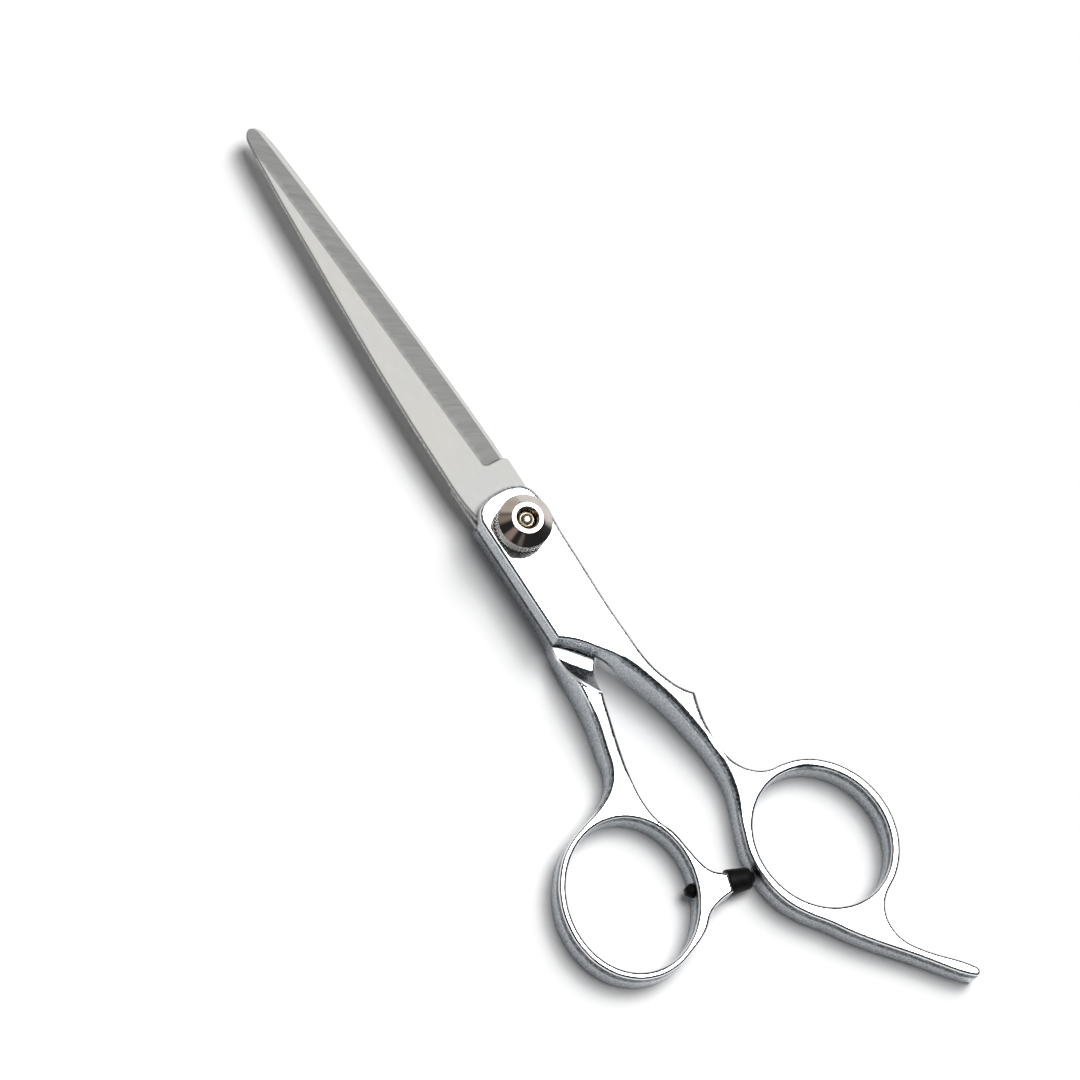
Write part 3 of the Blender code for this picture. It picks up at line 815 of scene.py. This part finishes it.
def upper_top(x, y):
    arm = PLATE_TOP + (RING_TOP - PLATE_TOP) * ease(-y, *ARM_DROP)
    return arm - (RING_TOP - REST_TIP_TOP) * ease(-y, *REST_DROP)


def upper_bottom(x, y):
    plate = BLADE_UNDER - PROUD
    neck = plate + (NECK_UNDER - plate) * ease(-y, *PLATE_RUNOUT)
    low = neck - NECK_UNDER * ease(-y, *NECK_RUNOUT) + REST_TIP_UNDER * ease(-y, *REST_DROP)
    return low + (BLADE_TOP + STEP_GAP - plate) * ease(y, *UPPER_STEP)


def at_bore(x, y):
    """Whether a place is on the rim of the hole for the stud, and not on the outline."""
    return abs(x) < 2.2 and abs(y) < 2.2


def soft_side(side):
    """1 where a wall faces the softer side."""
    return ease(SOFT_SIDE.dot(side), -0.2, 0.5)


def left_side(side):
    """1 where a wall faces -X."""
    return ease(-side[0], 0.1, 0.4)


def handle_under_rim(x, y, side):
    return BORE_RIM if at_bore(x, y) else 0.3


def wall_band(neck, ring):
    """Painted shade of the band under a handle's rim, and the band's depth. Both are greatest on the ring."""
    return (0.6 + 0.2 * ring) * neck, 0.7 + 0.9 * ring


def upper_rim(x, y, side):
    """Smallest on the ring, and wide from a blunt start on the left of the neck."""
    if at_bore(x, y):
        return BORE_RIM
    neck = ease(-y, *UPPER_NECK) * (1 - ease(-y, 52, 62))
    ring = ease(-y, 47, 53)
    return max(0.62 - 0.14 * ring + (0.3 - 0.22 * ring) * soft_side(side), 0.9 * neck * left_side(side))


def upper_painted_shade(x, y, side):
    """Painted shade: a dark line under the rim, a band below it from the neck on, a shadow at the plate's
    foot.
    """
    if at_bore(x, y):
        return NO_PAINTED_SHADE
    neck = ease(-y, *UPPER_NECK)
    belt, depth = wall_band(neck, ease(-y, 50, 60))
    return 0, 0.75 * (1 - 0.4 * neck), belt, 1 - ease(-y, 24, 27), depth


upper_handle = rounded_slab(
    [trace(UPPER_OUTLINE), trace(oval(UPPER_RING, 0)), bore()],
    upper_top,
    upper_bottom,
    upper_rim,
    handle_under_rim,
    upper_painted_shade,
)
piece("upper_handle_plated", upper_handle, "upper", ["upper_handle"], PLATING)

# ---------------- lower handle

LOWER_OUTLINE = [
    (-4.3, 3.7, 1), (-3.7, 5.1), (-2.4, 6.2), (0.3, 6.8), (3.2, 6.2), (4.5, 5.1), (5.2, 3.2),
    (5.25, -5), (5.1, -13.5), (4.0, -18.2), (1.9, -21.4), (-0.3, -23.9), (-2.7, -28.5), (-3.85, -32.6),
    (-5.0, -37.4), (-5.95, -42.2), (-6.4, -46.2), (-6.0, -50.0), (-4.9, -52.7), (-4.35, -56.2), (-3.9, -58.9),
    (-3.1, -60.9), (-1.1, -62.6, 1), (-1.95, -65.5, 1), (-4.4, -65.75), (-6.9, -66.6), (-9.2, -68.5),
    *oval(LOWER_RING, LOWER_RING[3], 225, 52, 10),
    (-12.3, -43.2), (-9.9, -41.7), (-8.3, -39.7), (-7.3, -36.2), (-6.2, -31.4), (-5.6, -26.8), (-5.35, -23),
    (-5.0, -19.2), (-4.4, -16), (-4.25, -8),
]
LUG_LOW = 0.8  # height of the lug's underside
LIP_PATH = [  # crest of the hollow, from the plate round to the right of the neck: x, y, height
    (-5.1, -18.8, 4.35), (-5.3, -20.9, 4.7), (-5.35, -22.5, 5.3), (-5.25, -23.9, 6.1), (-5.05, -25.0, 6.8),
    (-4.7, -26.0, 7.1), (-4.2, -27.0, 7.2), (-3.65, -27.95, 7.2), (-3.2, -28.4, 7.2), (-2.4, -29.1, 7.15),
]
LIP_HALF = 0.27  # half the ridge's width
LIP_RISE = 0.11  # its height over the crest
HOLLOW_SPAN = (-32, -17)  # the hollow and its crest lie between these places on Y
HOLLOW_SKIN = (-29, -17)  # and its rough skin between these
HOLLOW_PATCH = ((-7, -31), (1.5, -17.5), 0.28)  # finer mesh there
HOLLOW_FROM = Vector((-4.89, -20.2))  # a point on the line where the hollow begins
HOLLOW_AWAY = Vector((-0.76, -0.65))  # straight across that line, away from the pivot
HOLLOW_DIP = 0.25  # depth of that line under the plate
RUNDOWN = math.tan(math.radians(8.5))  # slope of the plate down to that line
HOLLOW_CURVE = 1.7  # above 1, the hollow rises late and steeply to its crest
CREST_WIDTH = 0.7  # behind the crest, the neck's own height is reached over this width
NECK_DROP = (27, 44)  # the neck comes down to the ring's height over this stretch
PLATE_RIM = 0.15


def smooth_path(knots, count):
    """Evenly spaced, rounded points along a path."""
    line = np.array(knots)
    along = length_along(line)
    at = np.linspace(0, along[-1], count)
    path = np.stack([np.interp(at, along, column) for column in line.T], 1)
    for _ in range(count // 5):
        path[1:-1] = (path[:-2] + 2 * path[1:-1] + path[2:]) / 4
    return path


def past_hollow_line(x, y):
    """How far a place lies beyond the line where the hollow begins."""
    return HOLLOW_AWAY.dot(Vector((x, y)) - HOLLOW_FROM)


LOWER_STEP = (SHOULDER_Y - 0.4, SHOULDER_Y - 0.2)  # where the plate passes under the blade's shoulder
LIP_POINTS = smooth_path(LIP_PATH, 120)
LIP_AHEAD = np.gradient(LIP_POINTS[:, :2], axis=0)
LIP_LINE = LIP_POINTS[:112] - (0.03, 0, 0.02)  # the ridge: the crest less its end, and set in a little
BEAD_END = 0.35  # the ridge's ends have this share of its width
BEAD_TAPER = 12  # and widen over this many points


def lower_top(x, y):
    """Plate, hollow, crest and neck of the lower handle."""
    plate = LOWER_TOP + PROUD
    neck = NECK_TOP + (RING_TOP - NECK_TOP) * ease(-y, *NECK_DROP)
    if y > HOLLOW_SPAN[1]:
        return plate + (LOWER_UNDER - STEP_GAP - plate) * ease(y, *LOWER_STEP)
    if y < HOLLOW_SPAN[0]:
        return neck
    floor = plate - HOLLOW_DIP
    past = past_hollow_line(x, y)
    if past <= 0:
        return min(plate, floor - RUNDOWN * past)
    gap = LIP_POINTS[:, :2] - (x, y)
    near = int(np.argmin((gap**2).sum(1)))
    reach = math.hypot(*gap[near])
    crest = min(LIP_POINTS[near, 2], neck)
    ahead = LIP_AHEAD[near]
    if ahead[0] * gap[near][1] - ahead[1] * gap[near][0] > 0:
        return crest + (neck - crest) * ease(reach, 0, CREST_WIDTH)
    return floor + (crest - floor) * (past / (past + reach)) ** HOLLOW_CURVE


def lower_bottom(x, y):
    """On the surface that the shears lie on, except under the lug."""
    return LUG_LOW * ease(x, -5.2, -2.0) * ease(y, -68, -66) * ease(-y, 58.5, 60.5)


def lower_rim(x, y, side):
    """Small on the plate, larger from the hollow on, and wide on the left of the neck."""
    if at_bore(x, y):
        return BORE_RIM
    if y > -20:
        return PLATE_RIM
    neck = ease(-y, 26.5, 32) * (1 - ease(-y, 42, 50))
    ring = ease(-y, 40, 45)
    rim = PLATE_RIM + 0.4 * ease(-y, 20, 25) - 0.08 * ring
    softer = (0.34 - 0.26 * ring) * soft_side(side) * ease(-y, 26, 30)
    return max(rim + softer, 0.8 * neck * left_side(side))


def lower_painted_shade(x, y, side):
    """Painted shade: a dark rim along the plate, and from the neck on a line and a band as on the upper
    handle.
    """
    if at_bore(x, y):
        return NO_PAINTED_SHADE
    plate = 1 - ease(-y, 17, 18.5)
    neck = ease(-y, 27, 29)
    belt, depth = wall_band(neck, ease(-y, 42, 48))
    return plate, max(plate, 0.5 * neck), belt, 0, depth


lower_handle = rounded_slab(
    [trace(LOWER_OUTLINE), trace(oval(LOWER_RING, 0)), bore()],
    lower_top,
    lower_bottom,
    lower_rim,
    handle_under_rim,
    lower_painted_shade,
    creases=[[(x, y) for x in np.linspace(-3.6, 4.5, 24)] for y in LOWER_STEP],
    patches=[HOLLOW_PATCH],
)


def bead(path, half, rise, sides=20):
    """A low rounded bead along a path, with tapered ends."""
    solid = Solid()
    spine = [Vector(p) for p in path]
    last = len(spine) - 1
    rows = []
    for i, centre in enumerate(spine):
        ahead = (spine[min(i + 1, last)] - spine[max(i - 1, 0)]).normalized()
        level = ahead.cross((0, 0, 1)).normalized()
        lift = level.cross(ahead)
        taper = min(1, BEAD_END + (1 - BEAD_END) * min(i, last - i) / BEAD_TAPER)
        turns = [math.tau * j / sides for j in range(sides)]
        around = [centre + (level * math.cos(a) * half + lift * math.sin(a) * rise) * taper for a in turns]
        rows.append([solid.add(*p) for p in around])
    for first, second in zip(rows[:-1], rows[1:]):
        solid.band(first, second)
    solid.faces += [tuple(rows[0]), tuple(reversed(rows[-1]))]
    return solid


def roughen_and_shade_hollow(solid):
    """Leaves the cast skin and some painted shade in the hollow, more of it on the left."""
    for i, (x, y, z) in enumerate(solid.points):
        past = past_hollow_line(x, y)
        on_face = abs(z - lower_top(x, y)) < 0.25 and z < NECK_TOP - 0.15
        if past > 0 and HOLLOW_SKIN[0] < y < HOLLOW_SKIN[1] and on_face:
            depth = ease(past, 0.05, 0.6)
            solid.skin[i] = max(solid.skin[i], depth)
            solid.painted_shade[i] = max(solid.painted_shade[i], depth * (0.6 - 0.35 * ease(x, -3.6, -1.2)))


roughen_and_shade_hollow(lower_handle)
piece("lower_handle_plated", lower_handle, "lower", ["lower_handle"], PLATING)
piece("lower_handle_lip", bead(LIP_LINE, LIP_HALF, LIP_RISE), "lower", [], SATIN)

# ---------------- pivot

KNURLS = 44
KNURL_DEPTH = 0.27
SKIRT_TOP = NUT_LOW.z + 2.6
NUT_R = NUT_HIGH.x
FLAT_R = 2.57  # outer radius of the ring on top
MOUTH_R = 1.85
NUT_BORE_R = 1.6
RECESS_R = 3.7  # room for the washers under the nut
RECESS_TOP = NUT_LOW.z + 0.7
BREAK = 0.08  # small bevel where the cone meets the skirt


def on_skirt(radius, z):
    return radius > NUT_R - 0.3 and NUT_LOW.z + 0.12 < z < SKIRT_TOP - 0.05


def knurl(radius, z, angle):
    """Cuts two crossing sets of shallow grooves into the skirt."""
    if not on_skirt(radius, z):
        return radius, z
    pitch = math.tau * NUT_R / KNURLS
    along = math.tau * (z - NUT_LOW.z) / (pitch * 1.15)
    one = abs(math.sin((KNURLS * angle + along) / 2))
    two = abs(math.sin((KNURLS * angle - along) / 2))
    return radius - KNURL_DEPTH * (1 - min(1, 1.25 * min(one, two))), z


def nut_profile():
    """Ring on top, cone, skirt, recess underneath and bore."""
    top, low = NUT_HIGH.z, NUT_LOW.z
    fall = (top - SKIRT_TOP) / (NUT_R - FLAT_R)
    cone = [(r, top - 0.03 - fall * (r - FLAT_R)) for r in np.linspace(FLAT_R + 0.03, NUT_R - BREAK, 7)]
    skirt = [(NUT_R, z) for z in SKIRT_TOP - BREAK - np.linspace(0, 2.36, 34)]
    return [
        (MOUTH_R, top - 0.06), (MOUTH_R + 0.06, top), (FLAT_R - 0.05, top),
        *cone,
        (NUT_R - 0.01, SKIRT_TOP - 0.02),
        *skirt,
        (NUT_R - 0.22, low), (RECESS_R, low), (RECESS_R, RECESS_TOP), (NUT_BORE_R, RECESS_TOP),
        (NUT_BORE_R, top - 0.6), (MOUTH_R, top - 0.35),
    ]


nut = lathe(nut_profile(), 396, knurl)
# The knurl gets the cast skin, and painted shade that deepens into its grooves
for i, (x, y, z) in enumerate(nut.points):
    radius = math.hypot(x, y)
    if on_skirt(radius, z):
        nut.skin[i] = 1.0
        nut.painted_shade[i] = ease(NUT_R - 0.02 - radius, 0.02, KNURL_DEPTH) * 0.9
piece("tension_nut_knurled", nut, "nut", ["tension_nut"], NICKEL, 24)

THREAD_R = 1.4
THREAD_PITCH = 0.45
THREAD_DEPTH = 0.16
SHAFT_R = 1.75
HEAD_R = 3.4
HEAD_TOP = 1.0


def thread(radius, z, angle):
    """Cuts a spiral groove into the thread's rows."""
    if abs(radius - THREAD_R) > 0.01:
        return radius, z
    turn = (z / THREAD_PITCH + angle / math.tau) % 1
    return radius - THREAD_DEPTH * abs(2 * turn - 1), z


def stud_profile():
    """Domed end, thread, shaft and flat head."""
    top = STUD_HIGH.z
    dome = [(0, 0), (0.35, 0.03), (0.7, 0.12), (0.95, 0.27), (1.15, 0.47), (1.28, 0.72)]
    return [
        *((radius, top - fall) for radius, fall in dome),
        *((THREAD_R, top - 0.85 - t) for t in np.linspace(0, 2.9, 60)),
        (SHAFT_R, PLATE_TOP - 0.3), (SHAFT_R, HEAD_TOP),
        (HEAD_R - 0.15, HEAD_TOP), (HEAD_R, HEAD_TOP - 0.15), (HEAD_R, 0.25), (HEAD_R - 0.25, 0.0),
        (0, STUD_LOW.z),
    ]


stud = lathe(stud_profile(), 64, thread)
piece("pivot_stud_turned", stud, "lower", ["pivot_stud"], STUD, 30)

for node, mat in (("wave_washer", SPRING), ("friction_washer", NYLON)):
    finish(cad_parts[node].data, mat, 30)

# ---------------- bumper

BUMPER_AT = Vector((-5.9, -62.1, 2.75))  # where its axis meets the wall of the ring
BUMPER_TURN = -17.0
HEAD_FRONT = (1.72, 8.45)  # radius, and distance along the axis
HEAD_BACK = (2.05, 5.45)
LUG_FACE = 4.94
STEM_R = 0.85


def bumper_profile():
    """Nub, head, stem through the lug, and barbed tail inside the ring."""
    (front_r, front), (back_r, back) = HEAD_FRONT, HEAD_BACK
    shares = (0, 0.2, 0.4, 0.6, 0.8, 1.0)
    return [
        (0, 9.4), (0.5, 9.38), (0.8, 9.28), (0.95, 9.1), (1.0, 8.86), (1.4, 8.8), (1.6, 8.66),
        *((front_r + (back_r - front_r) * t, front + (back - front) * t) for t in shares),
        (2.06, 5.1), (2.01, 4.98), (1.9, LUG_FACE), (STEM_R, LUG_FACE),
        (STEM_R, -0.7), (1.12, -0.74), (1.2, -0.85), (1.18, -0.98), (0.66, -1.95), (0.56, -2.05),
        (0.4, -2.1), (0, -2.1),
    ]


turn = Matrix.Rotation(math.radians(BUMPER_TURN), 4, "Z") @ Matrix.Rotation(math.pi / 2, 4, "Y")
place = Matrix.Translation(BUMPER_AT * MM) @ turn
bumper = lathe(bumper_profile(), 48)
piece("rubber_bumper_moulded", bumper, "lower", ["rubber_bumper"], RUBBER, 35, place)

# ---------------- floor, light, camera

FLOOR_HALF = 3.0
LAMP_BEARING = 15.0
# Lamps: degrees from straight up, degrees across, strength
KEY = (14, 35, 2.3)
SIDE = (33, 26, 1.15)
# Reflectors: azimuth, elevation, degrees across, softness of the edge, colour
CARDS = [
    (88, 9, 46, 5, (0.62, 0.58, 0.53)),
    (-172, 33, 22, 3, (0.34, 0.26, 0.235)),
    (128, 22, 22, 6, (0.30, 0.26, 0.22)),
    (-128, 30, 14, 2, (0.16, 0.14, 0.13)),
]
ROOM = [(0.0, 0.05), (0.3, 0.025), (0.75, 0.035), (0.97, 0.12)]  # grey that metal mirrors, by height
ROOM_LIGHT = (0.13, 0.132, 0.137)  # even light on everything else


def direction(tilt, bearing):
    """The unit vector at these degrees from straight up, towards this bearing."""
    tilt, bearing = math.radians(tilt), math.radians(bearing)
    return Vector((math.sin(tilt) * math.cos(bearing), math.sin(tilt) * math.sin(bearing), math.cos(tilt)))


def paper_floor():
    """A plain pale sheet under the shears."""
    sheet = bpy.data.meshes.new("floor")
    corners = [(x * FLOOR_HALF, y * FLOOR_HALF, 0) for x, y in ((-1, -1), (1, -1), (1, 1), (-1, 1))]
    sheet.from_pydata(corners, [], [(0, 1, 2, 3)])
    paper = Look("paper_floor", (0.9, 0.9, 0.9), 0.9, 0)
    paper.shader.inputs["Specular IOR Level"].default_value = 0.0
    sheet.materials.append(paper.mat)
    return add_object("floor", sheet)


def sun(name, tilt, spread, energy):
    """A soft lamp this many degrees from straight up."""
    lamp = bpy.data.lights.new(name, "SUN")
    lamp.angle = math.radians(spread)
    lamp.energy = energy
    obj = add_object(name, lamp)
    obj.rotation_mode = "QUATERNION"
    obj.rotation_quaternion = direction(tilt, LAMP_BEARING).to_track_quat("Z", "Y")
    return obj


def cool(grey):
    """A grey of the room, slightly blue."""
    return grey, grey * 1.05, grey * 1.15


def card(tree, sky, azimuth, elevation, spread, soft, colour):
    """A pale reflector in the room, seen in this direction and this many degrees across."""
    made = tree.nodes.new("ShaderNodeVectorMath")
    made.operation = "DOT_PRODUCT"
    made.inputs[1].default_value = direction(90 - elevation, azimuth)
    tree.links.new(sky, made.inputs[0])
    edge = math.cos(math.radians(spread / 2 + soft))
    full = math.cos(math.radians(max(0, spread / 2 - soft)))
    return add_ramp(tree, made.outputs["Value"], [(edge, 0.0), (full, colour)])


def studio():
    """A dim room with reflectors for the metal to mirror, and even light for everything else."""
    world = bpy.data.worlds.new("studio")
    bpy.context.scene.world = world
    world.use_nodes = True
    tree = world.node_tree
    new, link = tree.nodes.new, tree.links.new
    sky = new("ShaderNodeTexCoord").outputs["Generated"]
    height = new("ShaderNodeSeparateXYZ")
    link(sky, height.inputs["Vector"])
    light = add_ramp(tree, height.outputs["Z"], [(at, cool(grey)) for at, grey in ROOM])
    for setting in CARDS:
        total = new("ShaderNodeVectorMath")
        total.operation = "ADD"
        link(light, total.inputs[0])
        link(card(tree, sky, *setting), total.inputs[1])
        light = total.outputs["Vector"]
    room = new("ShaderNodeMix")
    room.data_type = "RGBA"
    enabled(room.inputs, "A").default_value = (*ROOM_LIGHT, 1)
    link(new("ShaderNodeLightPath").outputs["Is Glossy Ray"], room.inputs["Factor"])
    link(light, enabled(room.inputs, "B"))
    link(enabled(room.outputs, "Result"), tree.nodes["Background"].inputs["Color"])


floor = paper_floor()
sun("key", *KEY)
# The lower lamp draws the long soft shadow, and the metal doesn't mirror it.
side_lamp = sun("side", *SIDE)
side_lamp.visible_glossy = False
studio()

# The camera looks at AIM from this far, in metres, tilted from straight down, and rolled about its own line
CAMERA_TILT = 23.6
CAMERA_BEARING = -158.26
CAMERA_ROLL = 36.87
CAMERA_DISTANCE = 1.3
CAMERA_LENS = 277.8
AIM = Vector((3.29, -2.53, 4.3)) * MM

back = direction(CAMERA_TILT, CAMERA_BEARING)
rise = (Vector((0, 0, 1)) - back * back.z).normalized()
across = rise.cross(back)
facing = Matrix((across, rise, back)).transposed().to_4x4()
turn = Matrix.Rotation(math.radians(CAMERA_ROLL), 4, "Z")
view = bpy.data.cameras.new("camera")
view.lens = CAMERA_LENS
view.sensor_width = 36
view.clip_start, view.clip_end = 0.05, 20
camera = add_object("camera", view)
camera.matrix_world = Matrix.Translation(AIM + back * CAMERA_DISTANCE) @ facing @ turn
bpy.context.scene.camera = camera
bpy.context.scene.view_settings.view_transform = "Standard"
